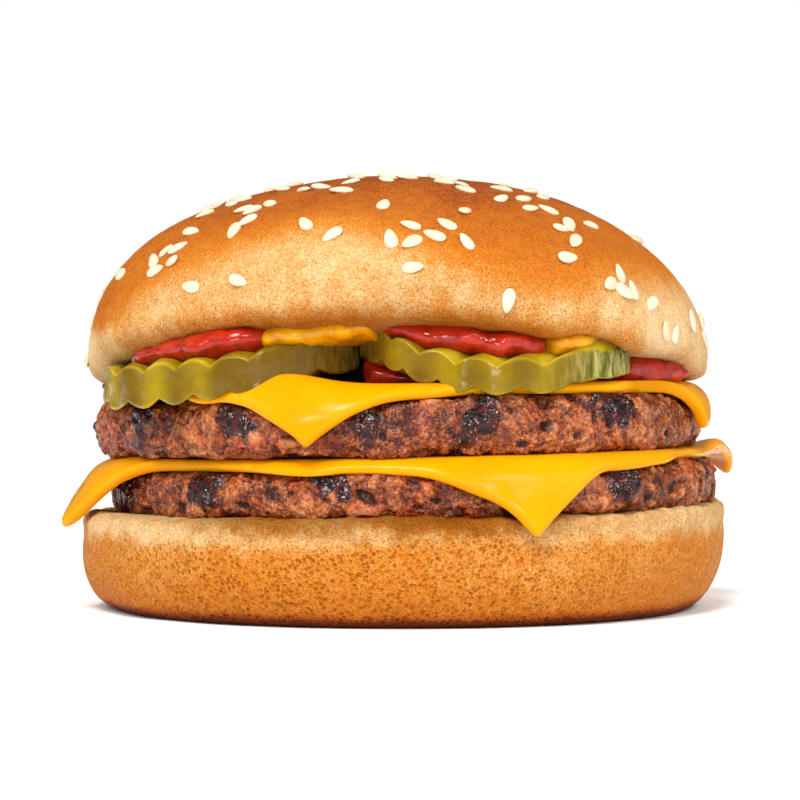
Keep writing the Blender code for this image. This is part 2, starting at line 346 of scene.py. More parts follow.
def bun_material():
    """Baked crust: pale dough to dark brown by bake, pores by crumb with painted shade in them, darker
    where fat soaks in and where shade is painted.
    """
    shader = Shader(
        "bun_crust", Specular_IOR_Level=0.04, Roughness=0.55,
        Subsurface_Weight=0.10, Subsurface_Radius=(1.0, 0.5, 0.2),
    )
    bake, crumb, grease = (shader.attribute(name) for name in ("bake", "crumb", "grease"))
    dots = shader.spread(shader.cells(0.72), 0.10, 0.48, 1.0, 0.0)
    patchy = shader.spread(shader.noise(2.4, 2), 0.30, 0.56, 0.45, 1.0)
    pores = shader.math("MULTIPLY", dots, patchy, crumb)
    blotchy, grainy = shader.mottle(0.07, 1.8, 4, 0.65), shader.mottle(0.20, 0.27, 3, 0.7)
    # The pores add to the bake: painted shade in them
    color = shader.ramp(
        shader.math("ADD", bake, blotchy, grainy, shader.math("MULTIPLY", pores, 0.24)),
        (0.0, (0.72, 0.50, 0.26)),
        (0.20, (0.60, 0.340, 0.125)),
        (0.40, (0.54, 0.188, 0.019)),
        (0.55, (0.48, 0.138, 0.010)),
        (0.70, (0.40, 0.104, 0.010)),
        (0.85, (0.27, 0.052, 0.005)),
        (1.0, (0.12, 0.020, 0.004)),
    )
    specks = shader.spread(shader.noise(0.26, 2, 0.6), 0.54, 0.64, 0.0, 0.80)
    color = shader.mix(specks, color, (0.58, 0.40, 0.25), "MULTIPLY")
    # Multiplied darker where the meat's fat soaks in and where shade is painted
    color = shader.mix(grease, color, (0.42, 0.40, 0.29), "MULTIPLY")
    fine = shader.bump(shader.noise(0.34, 3, 0.65), 0.16, 0.9)
    normal = shader.bump(shader.math("MULTIPLY", pores, -1.0), 0.45, 0.9, fine)
    return shader.set(Base_Color=color, Normal=normal)


def meat_material():
    """Grilled mince: red-brown grains with painted shade in the crevices and painted light on the lumps,
    black glossy char, and pale specks painted in as highlights of fat.
    """
    shader = Shader("grilled_beef", Specular_IOR_Level=0.28)
    char, relief = shader.attribute("char"), shader.attribute("relief")
    # The relief attribute is painted shade and light: dark in crevices and cracks, light on lumps
    color = shader.ramp(
        shader.math("ADD", relief, shader.mottle(0.60, 0.50, 5, 0.8), shader.mottle(0.18, 2.6)),
        (0.0, (0.022, 0.003, 0.001)),
        (0.25, (0.085, 0.012, 0.003)),
        (0.50, (0.250, 0.052, 0.009)),
        (0.75, (0.380, 0.105, 0.022)),
        (1.0, (0.540, 0.200, 0.080)),
    )
    orange = shader.spread(shader.noise(5.0, 3), 0.52, 0.68, 0.0, 0.60)
    color = shader.mix(orange, color, (0.46, 0.120, 0.010), "OVERLAY")
    streaky = shader.noise(3.4, 3, 0.6, shader.stretched(1.0, 1.3, 0.8))
    purple = shader.spread(streaky, 0.54, 0.70, 0.0, 0.65)
    color = shader.mix(purple, color, (0.085, 0.010, 0.006))
    ragged = shader.math("ADD", char, shader.mottle(0.50, 1.5, 5, 0.7))
    scorch = shader.spread(ragged, 0.05, 0.45, 0.0, 0.85)
    color = shader.mix(scorch, color, (0.085, 0.012, 0.005))
    burnt = shader.spread(ragged, 0.40, 0.70)
    sooty = shader.noise(1.6, 3)
    soot = shader.ramp(sooty, (0.42, (0.006, 0.001, 0.001)), (0.62, (0.052, 0.006, 0.006)))
    color = shader.mix(burnt, color, soot)
    # Painted highlights: pale specks mixed into the colour, in clusters, stronger on the char
    glints = shader.spread(shader.noise(0.40, 2, 0.6), 0.58, 0.65)
    clustered = shader.spread(shader.noise(2.2, 2, 0.5), 0.46, 0.60)
    strength = shader.spread(burnt, 0.0, 1.0, 0.30, 0.70)
    glints = shader.math("MULTIPLY", glints, clustered, strength)
    color = shader.mix(glints, color, (0.62, 0.50, 0.47))
    coarse = shader.bump(shader.noise(1.3, 2, 0.5), 0.45, 0.8)
    crisp = shader.spread(burnt, 0.0, 1.0, 0.30, 0.20)
    normal = shader.bump(shader.noise(0.70, 2, 0.5), crisp, 1.0, coarse)
    wet = shader.spread(shader.noise(1.4, 2, 0.5), 0.40, 0.56, 0.55, 0.22)
    rough = shader.spread(burnt, 0.0, 1.0, wet, 0.17)
    return shader.set(Base_Color=color, Normal=normal, Roughness=rough)


def cheese_material():
    """Melted processed cheese: even yellow, soft gloss, with light passing through thin edges."""
    shader = Shader(
        "melted_cheese", Specular_IOR_Level=0.11,
        Subsurface_Weight=0.50, Subsurface_Radius=(2.6, 1.3, 0.15),
    )
    color = shader.ramp(shader.noise(7.0, 2), (0.3, (0.76, 0.280, 0.0)), (0.7, (0.80, 0.325, 0.0)))
    soft = shader.bump(shader.noise(2.2, 2, 0.4), 0.10, 0.35)
    normal = shader.bump(shader.noise(0.25, 2), 0.012, 0.4, soft)
    rough = shader.spread(shader.noise(3.0, 2), 0.3, 0.7, 0.13, 0.24)
    return shader.set(Base_Color=color, Normal=normal, Roughness=rough)


def pickle_material():
    """Pickled gherkin: see-through olive flesh with painted shading in bands, painted light on its cut
    faces and edges and painted shade at one end, and a darker bumpy skin.
    """
    shader = Shader(
        "pickle_flesh", Roughness=0.16, Specular_IOR_Level=0.22,
        Subsurface_Weight=0.35, Subsurface_Radius=(2.0, 1.7, 0.3),
    )
    skin, band = shader.attribute("skin"), shader.attribute("band")
    flesh = shader.ramp(
        shader.math("ADD", band, shader.mottle(0.10, 2.6)),
        (0.0, (0.140, 0.078, 0.004)),
        (0.35, (0.240, 0.152, 0.003)),
        (0.70, (0.370, 0.262, 0.005)),
        (1.0, (0.540, 0.400, 0.030)),
    )
    flecks = shader.spread(shader.noise(0.42, 2), 0.62, 0.72, 0.0, 0.45)
    flesh = shader.mix(flecks, flesh, (0.20, 0.15, 0.03))
    ribbed = shader.noise(1.0, 4, 0.6, shader.stretched(1.0, 1.0, 0.25))
    rind = shader.ramp(
        ribbed,
        (0.36, (0.050, 0.060, 0.006)),
        (0.50, (0.18, 0.150, 0.018)),
        (0.66, (0.38, 0.34, 0.10)),
    )
    color = shader.mix(skin, flesh, rind)
    soft = shader.bump(shader.noise(1.1, 2, 0.5), 0.12, 0.4)
    warts = shader.math("MULTIPLY", shader.noise(0.6, 3), skin)
    normal = shader.bump(warts, 0.5, 0.7, soft)
    return shader.set(Base_Color=color, Normal=normal)


def sauce_material(name, dark, light, roughness):
    """A glossy sauce between two tones."""
    shader = Shader(
        name, Roughness=roughness, Specular_IOR_Level=0.30, Coat_Weight=0.22, Coat_Roughness=0.06,
        Subsurface_Weight=0.25, Subsurface_Radius=(1.6, 0.35, 0.10),
    )
    color = shader.ramp(shader.noise(2.6, 3), (0.3, dark), (0.72, light))
    return shader.set(Base_Color=color, Normal=shader.bump(shader.noise(1.1, 2, 0.5), 0.18, 0.6))


def seed_material():
    """Hulled sesame: cream, each seed toasted a little differently, with darker stains here and there."""
    shader = Shader(
        "sesame", Roughness=0.42, Specular_IOR_Level=0.45,
        Subsurface_Weight=0.2, Subsurface_Radius=(0.8, 0.6, 0.35),
    )
    color = shader.ramp(
        shader.attribute("toast"),
        (0.0, (0.70, 0.595, 0.43)),
        (0.5, (0.66, 0.51, 0.33)),
        (1.0, (0.60, 0.35, 0.14)),
    )
    stain = shader.spread(shader.noise(1.2, 2), 0.55, 0.8, 0.0, 0.35)
    color = shader.mix(stain, color, (0.80, 0.55, 0.28))
    return shader.set(Base_Color=color, Normal=shader.bump(shader.noise(0.35, 2), 0.04, 0.4))


def floor_material():
    shader = Shader("pale_floor", Roughness=0.9, Specular_IOR_Level=0.0)
    tone = shader.ramp(shader.noise(60, 2), (0.3, (0.975, 0.975, 0.975)), (0.7, (0.982, 0.982, 0.982)))
    return shader.set(Base_Color=tone)


BUN = bun_material()
MEAT = meat_material()
CHEESE = cheese_material()
PICKLE = pickle_material()
KETCHUP = sauce_material("tomato_ketchup", (0.24, 0.006, 0.002), (0.52, 0.026, 0.005), 0.18)
MUSTARD = sauce_material("yellow_mustard", (0.62, 0.22, 0.004), (0.84, 0.45, 0.001), 0.22)
SESAME = seed_material()


# ---- bun, bottom half

HEEL_FLAT = 45.2  # radius of the flat that it stands on
HEEL_SHOULDER = 1.5
HEEL_RISE = 10.0  # height over which its side turns in to the flat
HEEL_PALE_FROM = 13.4  # height where the pale crumb of the cut begins
HEEL_GREASY = (12.2, 15.6)  # heights between which the meat's fat soaks in and the shade under the meat is painted
HEEL_UNDER_MEAT = ((1, 3, 20), (0.75, -27, 14), (0.06, -50, 14), (0.14, 42, 26), (0.5, 180, 110))
HEEL_SCORCHED = (2.8, 0.5)  # heights between which the crust darkens towards the table: burnt crust and painted contact shadow


def make_heel():
    low, high = box_mm("bun_bottom")
    radius = (high[0] - low[0]) / 2
    top = high[2] - LOWER_SLOPE * radius
    azimuth = ring_azimuths(AROUND)

    inner = np.linspace(0.02, 1, 10)[:, None] * (radius - HEEL_SHOULDER)
    turn = np.linspace(0, 90, 12)[1:, None]
    shoulder_r = radius - HEEL_SHOULDER * (1 - np.sin(np.radians(turn)))
    shoulder_z = top - HEEL_SHOULDER * (1 - np.cos(np.radians(turn)))
    wall_z = np.linspace(top - HEEL_SHOULDER, HEEL_RISE, 16)[1:-1, None]
    down = np.linspace(0, 90, 46)[:, None]
    fall = radius - HEEL_FLAT
    lower_r = radius - fall * (1 - np.cos(np.radians(down)))
    lower_z = HEEL_RISE * (1 - np.sin(np.radians(down)))
    under = np.linspace(1, 0.02, 8)[1:, None] * HEEL_FLAT
    r = np.concatenate([inner, shoulder_r, np.full_like(wall_z, radius), lower_r, under])
    z = np.concatenate([np.full_like(inner, top), shoulder_z, wall_z, lower_z, np.zeros_like(under)])
    side = smooth_step(r, radius - 8, radius - 3)

    lean = 0.35 * smooth_step(z, 0, top) * np.sin(np.radians(azimuth)) - 0.9 * hump(azimuth, -90, 45)
    points = ring_points(r + side * lean, z, AROUND)
    lift = np.clip(points[..., 2] / 2.0, 0, 1)  # nothing pushes below the flat

    soft = noises(points, (0.55, 24, 11), (0.30, 9, 12))
    near, _, number = grains(points, 1.15, 21)
    pits = 0.24 * np.clip(1 - near / 0.5, 0, 1) * (0.4 + 0.6 * number)
    cut = smooth_step(points[..., 2] / top, 0.70, 0.92)
    torn = 0.34 * rough_noise(points * (1, 1, 0.6), 1.8, 31) + 0.25 * noise(points, 4.5, 33)
    points = push_out(points, (soft - pits * (1 - 0.5 * cut) + torn * cut) * side * lift)
    points[..., 2] += LOWER_SLOPE * points[..., 0] * np.clip(z / top, 0, 1)
    points[..., 2] += 0.6 * (1 - smooth_step(r, radius - 9, radius - 4)) * (z > top - 0.1)

    height = points[..., 2]
    pale_from = HEEL_PALE_FROM + humps(azimuth, (-2.0, -18, 17), (-0.9, -62, 25), (0.4, 30, 25))
    pale_from = pale_from + noises(points, (1.0, 12, 41), (0.7, 2.6, 42))
    paleness = smooth_step(height, pale_from - 2.0, pale_from + 1.5)
    # Painted shade under the patty on the heel's cut top, most at the front, with the meat's fat that
    # soaks in: it darkens the bake and the colour
    greasy = smooth_step(height + noises(points, (0.8, 3, 46), (0.5, 1.2, 47)), *HEEL_GREASY)
    under_meat = np.clip(humps(azimuth, *HEEL_UNDER_MEAT), 0, 1)
    grease = greasy * under_meat
    soaked = (0.20 + 0.14 * hump(azimuth, 9, 17)) * grease + 0.08 * under_meat
    pale_bake = 0.10 + 0.07 * noise(points, 9, 44) + soaked - 0.08 * hump(azimuth, -48, 16)
    crust_bake = 0.40 + 0.06 * noise(points, 11, 43) + 0.07 * smooth_step(height, 9, 3)
    # Burnt crust and painted contact shadow, darker towards the table
    scorch_from, scorch_to = HEEL_SCORCHED
    scorched = smooth_step(height, scorch_from + 0.7 * noise(points, 6, 45), scorch_to)
    # The pits add to the bake as painted shade in them
    bake = crust_bake * (1 - paleness) + pale_bake * paleness + 0.20 * pits * side + 0.55 * scorched
    crumb = (0.25 + 0.75 * (1 - paleness)) * (1 - humps(azimuth, (0.55, 62, 34), (0.40, -70, 24)))
    make_rings("bun_heel", points, BUN, "bun", "bun_bottom", bake=bake, crumb=crumb, grease=grease)


# ---- patties

PATTY_ROUND = 4.1  # how far in from its outline a patty's side is rounded
PATTY_FULLNESS = (2.5, 3.1)  # exponent of its side above and below its middle: 2 is round, more is squarer
PATTY_SAG = 0.55  # how far the underside's rim sags towards what lies below it
PATTY_PRESSED = 0.6  # how much further its middle reaches into the layers over and under it
PATTY_RELIEF = (-1.7, 0.9)  # how deep and how high its crevices and lumps go

# Azimuths of the char that wraps over each patty's rim, with how wide it is in degrees and how
# far down the side it reaches, as a share
UPPER_CHAR = (
    (-55, 3.2, 0.95), (-30, 4.2, 0.70), (-5, 3.2, 0.85), (15.5, 4.4, 0.75), (42.5, 4.0, 0.65),
    (78, 3.0, 0.60), (112, 4.0, 0.80), (138, 3.6, 0.60), (163, 4.2, 0.75), (-171, 3.4, 0.60),
    (-146, 4.2, 0.80), (-118, 3.0, 0.65), (-88, 3.2, 0.70),
)
LOWER_CHAR = (
    (-70, 4.0, 0.90), (-41, 4.0, 0.80), (-14.5, 4.2, 0.75), (13, 2.4, 0.50), (40, 4.2, 0.75),
    (70, 3.2, 0.60), (98, 4.0, 0.80), (128, 3.4, 0.60), (152, 4.2, 0.75), (178, 3.4, 0.70),
    (-152, 4.2, 0.70), (-124, 3.4, 0.65), (-98, 3.0, 0.60),
)

# Paler and darker stretches of each patty's side: how much paler, azimuth, half width. The upper patty's
# are painted shade in its middle, under the hanging cheese, and painted light towards its ends.
UPPER_TONES = ((-0.22, 3, 12), (0.26, -34, 10), (0.18, 42, 14), (-0.06, -52, 7), (0.04, 22, 6))
LOWER_TONES = ((0.06, -24, 10), (-0.06, 2, 9), (0.04, 36, 10))


def patty_outline(azimuth, radius):
    turn = np.radians(azimuth)
    return radius + sum(height * np.sin(lobes * turn + phase) for lobes, height, phase in PATTY_WOBBLE)


def patty_facts(node, slope):
    """(middle x, radius, height of its middle, thickness) of a patty's solid."""
    low, high = box_mm(node)
    radius = (high[0] - low[0]) / 2
    thickness = high[2] - low[2] - 2 * slope * (radius - PATTY_CORNER)
    middle = (low[0] + high[0]) / 2
    return middle, radius, (low[2] + high[2]) / 2 - slope * middle, thickness


def make_patty(name, node, slope, char_marks, tones, seed):
    middle, radius, height, thickness = patty_facts(node, slope)
    azimuth = ring_azimuths(PATTY_AROUND)
    inner = np.linspace(0.02, 1, 8)[:, None] ** 0.5
    turn = np.linspace(90, -90, 60)[:, None]
    power = 2 / np.where(turn > 0, *PATTY_FULLNESS)
    side_r = np.abs(np.cos(np.radians(turn))) ** power
    side_z = signed_power(np.sin(np.radians(turn)), power)
    share_r = np.concatenate([inner[:-1] * 0, side_r, inner[:-1] * 0])
    flat = np.concatenate([inner[:-1], np.ones_like(side_r), inner[-2::-1]])
    share_z = np.concatenate([np.ones_like(inner[:-1]), side_z, -np.ones_like(inner[:-1])])

    out = flat * (patty_outline(azimuth, radius) - PATTY_ROUND) + PATTY_ROUND * share_r
    points = ring_points(out, share_z * thickness / 2, PATTY_AROUND)
    side = np.clip(smooth_step(share_r, 0.05, 0.75) + 0.25 * smooth_step(flat, 0.9, 1), 0, 1)

    char = np.zeros(points.shape[:2])
    from_top = (1 - share_z) / 2 + 0.10 * noise(points, 2.4, seed + 60)
    for at, half_width, reach in char_marks:
        across = turn_between(azimuth, at) / half_width
        along = (from_top - reach * 0.42) / (reach * 0.52)
        blob = 1 - np.sqrt(across**2 + along**2)
        ragged = 0.60 * noise(points, 3.2, seed + int(at)) + 0.40 * noise(points, 1.3, seed + 5)
        char = np.maximum(char, smooth_step(blob + ragged, -0.20, 0.50))

    place = points + (middle, 0, seed * 3.7)
    place = place + 1.1 * np.stack([noise(place, 3.0, seed + step) for step in (50, 51, 52)], axis=-1)
    broad = noises(place, (0.50, 11, seed + 20), (0.40, 5.0, seed + 21))
    lumps = 0.72 * np.abs(noise(place, 3.4, seed + 22)) - 0.22
    knots = 0.52 * np.abs(noise(place, 1.5, seed + 23)) - 0.15
    small, small_next, _ = grains(place, 0.85, seed + 10)
    crumbs = 0.20 * (0.5 - small) - 0.10 * np.exp(-((small_next - small) / 0.2) ** 2)
    cracks = -0.6 * smooth_step(noise(place * (1, 1, 1.6), 2.6, seed + 24), 0.42, 0.75)
    blister = 0.25 + 0.80 * np.abs(noise(place, 2.2, seed + 40)) + 0.10 * noise(place, 0.9, seed + 41)
    relief = broad + (lumps + knots + crumbs + cracks) * (1 - 0.55 * char) + blister * char
    points = push_out(points, np.clip(relief, *PATTY_RELIEF) * side)
    pressed = PATTY_PRESSED * (1 - smooth_step(flat, 0.80, 0.97)) * np.sign(share_z)
    points[..., 2] += pressed - PATTY_SAG * smooth_step(flat, 0.86, 0.97) * (1 - share_z) / 2
    points[..., 0] += middle
    points[..., 2] += height + slope * points[..., 0]

    # Painted shade and light: darker in crevices and cracks, lighter on lumps and crumbs
    tone = 0.538 + 0.55 * lumps + 0.9 * knots + 1.1 * crumbs + 0.9 * cracks + 0.12 * broad
    make_rings(name, points, MEAT, "patty", node, char=char, relief=tone + humps(azimuth, *tones))


# ---- cheese slices

CHEESE_CELLS = 124
CHEESE_CORNER_POWERS = (90, 24, 34, 44)  # the higher, the sharper that corner of the slice
CHEESE_ROUND_EDGE = 1.1  # how far in from its edge a slice is rounded
CHEESE_STAND_OFF = 1.7  # from the patty's outline to the middle of the hanging cheese
CHEESE_SINK = 0.25  # how far a slice presses into the patty under it
CORNER_WIDTH = 20  # degrees: how wide a corner's own shape spreads
CHEESE_HALF_SIDE = 43.0  # used only to tell how far in from its edge a place on a slice is

# Each slice: its corners, as azimuth and reach from the patty's middle if it lay flat, how far
# its melted sides swell, the bend over the rim and the lean of what hangs. The bends are places
# that hang in their own way: azimuth, more lean, how much further out, a wider bend. The nips are
# places where the edge is drawn in, or out where negative: depth, azimuth, half width. The ridges
# are soft folds on top: azimuth, reach, height, and half sizes round and across.
LOWER_SLICE = {
    "corners": ((19.5, 60.6), (-76, 63.2), (-160, 61.6), (111, 60.5)),
    "swell": 4.6, "bend": 4.7, "flare": 20,
    "bends": ((-76, 15, 2.9, 0.5), (111, 8, 5.9, -1.0)),
    "nips": ((4.2, -52, 14), (-3.3, -24, 20)),
    "ridges": ((96, 50, 1.0, 7, 3.5), (-66, 45, 0.5, 8, 4)),
}
UPPER_SLICE = {
    "corners": ((-14.8, 57.6), (-95, 49.5), (162, 52.9), (71.4, 57.0)),
    "swell": 4.4, "bend": 4.9, "flare": 5,
    "bends": ((-16, 3, 0.3, 1.6),),
    "nips": ((4.6, 60, 10), (-2.2, -39, 9)),
    "ridges": ((-21, 46, 1.7, 9, 3.0), (-31, 47, 0.9, 3, 2.5), (-14, 49, 0.5, 8, 2.0)),
}


def hanging(out, azimuth, slice_, radius):
    """(radius, drop) of the cheese's middle where it would lie that far out when flat."""
    wall = patty_outline(azimuth, radius) + CHEESE_STAND_OFF
    flare = np.full_like(out, slice_["flare"])
    bend = np.full_like(out, slice_["bend"])
    for at, more_flare, further, wider in slice_["bends"]:
        share = hump(azimuth, at, CORNER_WIDTH)
        flare, wall, bend = flare + more_flare * share, wall + further * share, bend + wider * share
    start = wall - bend
    past = np.maximum(out - start, 0)
    full = np.radians(90 - flare)
    bent = np.minimum(past, bend * full)
    straight = past - bent
    lean = np.radians(flare)
    far = np.minimum(out, start) + bend * np.sin(bent / bend) + straight * np.sin(lean)
    drop = bend * (1 - np.cos(bent / bend)) + straight * np.cos(lean)
    return far, drop


def between_corners(u, v, values):
    """Mix of a square's four corner values at u and v from -1 to 1."""
    weights = ((1 - u) * (1 - v), (1 + u) * (1 - v), (1 + u) * (1 + v), (1 - u) * (1 + v))
    return sum(weight * value for weight, value in zip(weights, values)) / 4


def slice_plan(slice_, seed):
    """The slice lying flat: x and y from the patty's middle, and the distance in from its edge."""
    steps = np.linspace(-1, 1, CHEESE_CELLS)
    steps = np.sign(steps) * (1 - (1 - np.abs(steps)) ** 1.5)
    u, v = np.meshgrid(steps, steps, indexing="ij")
    power = between_corners(u, v, CHEESE_CORNER_POWERS)
    most = np.maximum(np.abs(u), np.abs(v))
    rounding = most / np.maximum((np.abs(u) ** power + np.abs(v) ** power) ** (1 / power), 1e-9)
    p, q = u * rounding, v * rounding
    corners = [out_at(at, reach) for at, reach in slice_["corners"]]
    x, y = (between_corners(p, q, values) for values in zip(*corners))
    flat = np.stack([x, y, 0 * x], axis=-1)
    sides = np.abs(p) ** 4 * (1 - q**2) ** 2 + np.abs(q) ** 4 * (1 - p**2) ** 2
    swollen = slice_["swell"] * sides * (1 + 0.4 * noise(flat, 14, seed))
    wavy = 0.5 * most**6 * noise(flat, 7, seed)
    nipped = humps(azimuth_of(x, y), *slice_["nips"]) * most**8
    grown = 1 + (swollen + wavy - nipped) / np.maximum(np.hypot(x, y), 1e-6)
    return x * grown, y * grown, (1 - most) * CHEESE_HALF_SIDE


def make_cheese(name, node, patty_node, slice_, slope, seed):
    middle, radius, patty_height, patty_thickness = patty_facts(patty_node, slope)
    level = patty_height + patty_thickness / 2 + GAP + CHEESE_THICKNESS / 2 - CHEESE_SINK
    x, y, from_edge = slice_plan(slice_, seed)
    azimuth = azimuth_of(x, y)
    out, drop = hanging(np.hypot(x, y), azimuth, slice_, radius)
    lift = 0
    for at, reach, height, around, across in slice_["ridges"]:
        lift = lift + height * hump(azimuth, at, around) * np.exp(-(((out - reach) / across) ** 2))
    x, y = out_at(azimuth, out)
    x = x + middle
    sheet = np.stack([x, y, level + lift - drop + slope * x], axis=-1)

    normals = unit(np.cross(np.gradient(sheet, axis=0), np.gradient(sheet, axis=1)))
    loose = smooth_step(drop, 1, 6)
    ripple = loose * noises(sheet, (0.35, 9, seed + 1), (0.12, 3.5, seed + 2))
    sheet = sheet + normals * ripple[..., None]
    edge = np.clip(from_edge / CHEESE_ROUND_EDGE, 0, 1)
    swell = 1 + 0.10 * noise(sheet, 5, seed + 3) * loose
    half = CHEESE_THICKNESS / 2 * np.sqrt(1 - (1 - edge) ** 2) * swell
    half = np.maximum(half, 0.02)
    upper, lower = sheet + normals * half[..., None], sheet - normals * half[..., None]

    count = CHEESE_CELLS
    index = np.arange(count * count).reshape(count, count)
    corners = [index[:-1, :-1], index[1:, :-1], index[1:, 1:], index[:-1, 1:]]
    quads = np.stack(corners, axis=-1).reshape(-1, 4)
    border = np.concatenate([index[:-1, 0], index[-1, :-1], index[:0:-1, -1], index[0, :0:-1]])
    following = np.roll(border, -1)
    below = count * count
    rim = np.stack([border, border + below, following + below, following], axis=-1)
    faces = quads.tolist() + (quads[:, ::-1] + below).tolist() + rim.tolist()
    points = np.concatenate([upper.reshape(-1, 3), lower.reshape(-1, 3)])
    make_piece(name, points, faces, CHEESE, [node])


# ---- pickles

PICKLE_AROUND = 620
PICKLE_CORNER = 0.45
PICKLE_LIFT = 0.25  # how far a pickle stands off the cheese
DROOP_FROM = 43.0  # radius past which the pickles sag over the patty's rim
DROOP_SLOPE = 0.30
PICKLE_FULLNESS = 2.35  # exponent of a pickle's oval: 2 is an ellipse
PICKLE_PALE_EDGE = 0.36  # how much lighter its cut faces and their edges are painted, as light falling on them

# Each pickle: its middle, half sizes, thickness and the azimuth that its long side faces; its
# waves' direction, length, height and where one crest lies; how light it is; how it tilts, how
# its two ends curl up from some distance out, and how far the second one goes on curling; the
# stretches of its own rim, from its front, that are skin; and the end that is darker.
LEFT_PICKLE = {
    "middle": (-26.3, -24.3), "half": (21.6, 15.8), "thickness": 5.3, "faces": -46,
    "heading": -10, "wave": 6.0, "height": 0.52, "crest": -35.0, "tone": 0.30,
    "tilt": 0.045, "curls": ((-30, 0.0), (5.6, 0.0083)), "curl_ends": 20,
    "skin": ((1, -56, 9), (1, 160, 50)), "shade": (15, 0.60),
}
RIGHT_PICKLE = {
    "middle": (14.8, -30.6), "half": (21.0, 14.6), "thickness": 4.6, "faces": 26,
    "heading": -28, "wave": 5.16, "height": 0.58, "crest": 16.3, "tone": 0.25,
    "tilt": 0.0, "curls": ((-1.8, 0.012), (5.4, 0.0235)), "curl_ends": 9.4,
    "skin": ((1, 37, 23), (1, 75, 25), (1, 180, 60)), "shade": (-22, 0.07),
}


def cheese_top(x):
    _, _, height, thickness = patty_facts("patty_upper", UPPER_SLOPE)
    return height + thickness / 2 + GAP + CHEESE_THICKNESS - CHEESE_SINK + UPPER_SLOPE * x


def droop_past_rim(x, y):
    """How far the pickles sag where they reach past the upper patty's rim."""
    past = np.hypot(x, y) - DROOP_FROM
    return DROOP_SLOPE / 2 * (past + np.hypot(past, 2.0))


def scallop(distance, length):
    """A wave from about -1 to 1 with round crests and tighter hollows."""
    turn = math.pi * distance / length
    return 2.87 * ((np.cos(turn) ** 2 + 0.02) ** 0.3 - 0.309) - 1


def from_pickle(pickle, x, y):
    """How far a place is from a pickle's middle: along its length and across it."""
    facing = math.radians(pickle["faces"])
    dx, dy = x - pickle["middle"][0], y - pickle["middle"][1]
    return dx * math.cos(facing) + dy * math.sin(facing), dy * math.cos(facing) - dx * math.sin(facing)


def pickle_rest(pickle, x, y):
    """Height of the middle of a pickle's thickness, before its waves."""
    dx = x - pickle["middle"][0]
    along, _ = from_pickle(pickle, x, y)
    (low_from, low_curl), (high_from, high_curl) = pickle["curls"]
    low_curl = low_curl * np.maximum(low_from - dx, 0) ** 2
    high_curl = high_curl * np.clip(dx - high_from, 0, pickle["curl_ends"]) ** 2
    lift = PICKLE_LIFT + pickle["thickness"] / 2 + pickle["tilt"] * along + low_curl + high_curl
    return cheese_top(x) + lift - droop_past_rim(x, y)


def pickle_front(pickle, azimuth):
    """How far out a pickle reaches at each azimuth (n, 1), or 0 where it doesn't lie."""
    reach = np.arange(20, 54, 0.25)[None, :]
    along, across = from_pickle(pickle, *out_at(azimuth, reach))
    half_length, half_width = pickle["half"]
    shares = (np.abs(along) / half_length, np.abs(across) / half_width)
    inside = shares[0] ** PICKLE_FULLNESS + shares[1] ** PICKLE_FULLNESS < 1
    return np.max(np.where(inside, reach, 0), axis=1, keepdims=True)


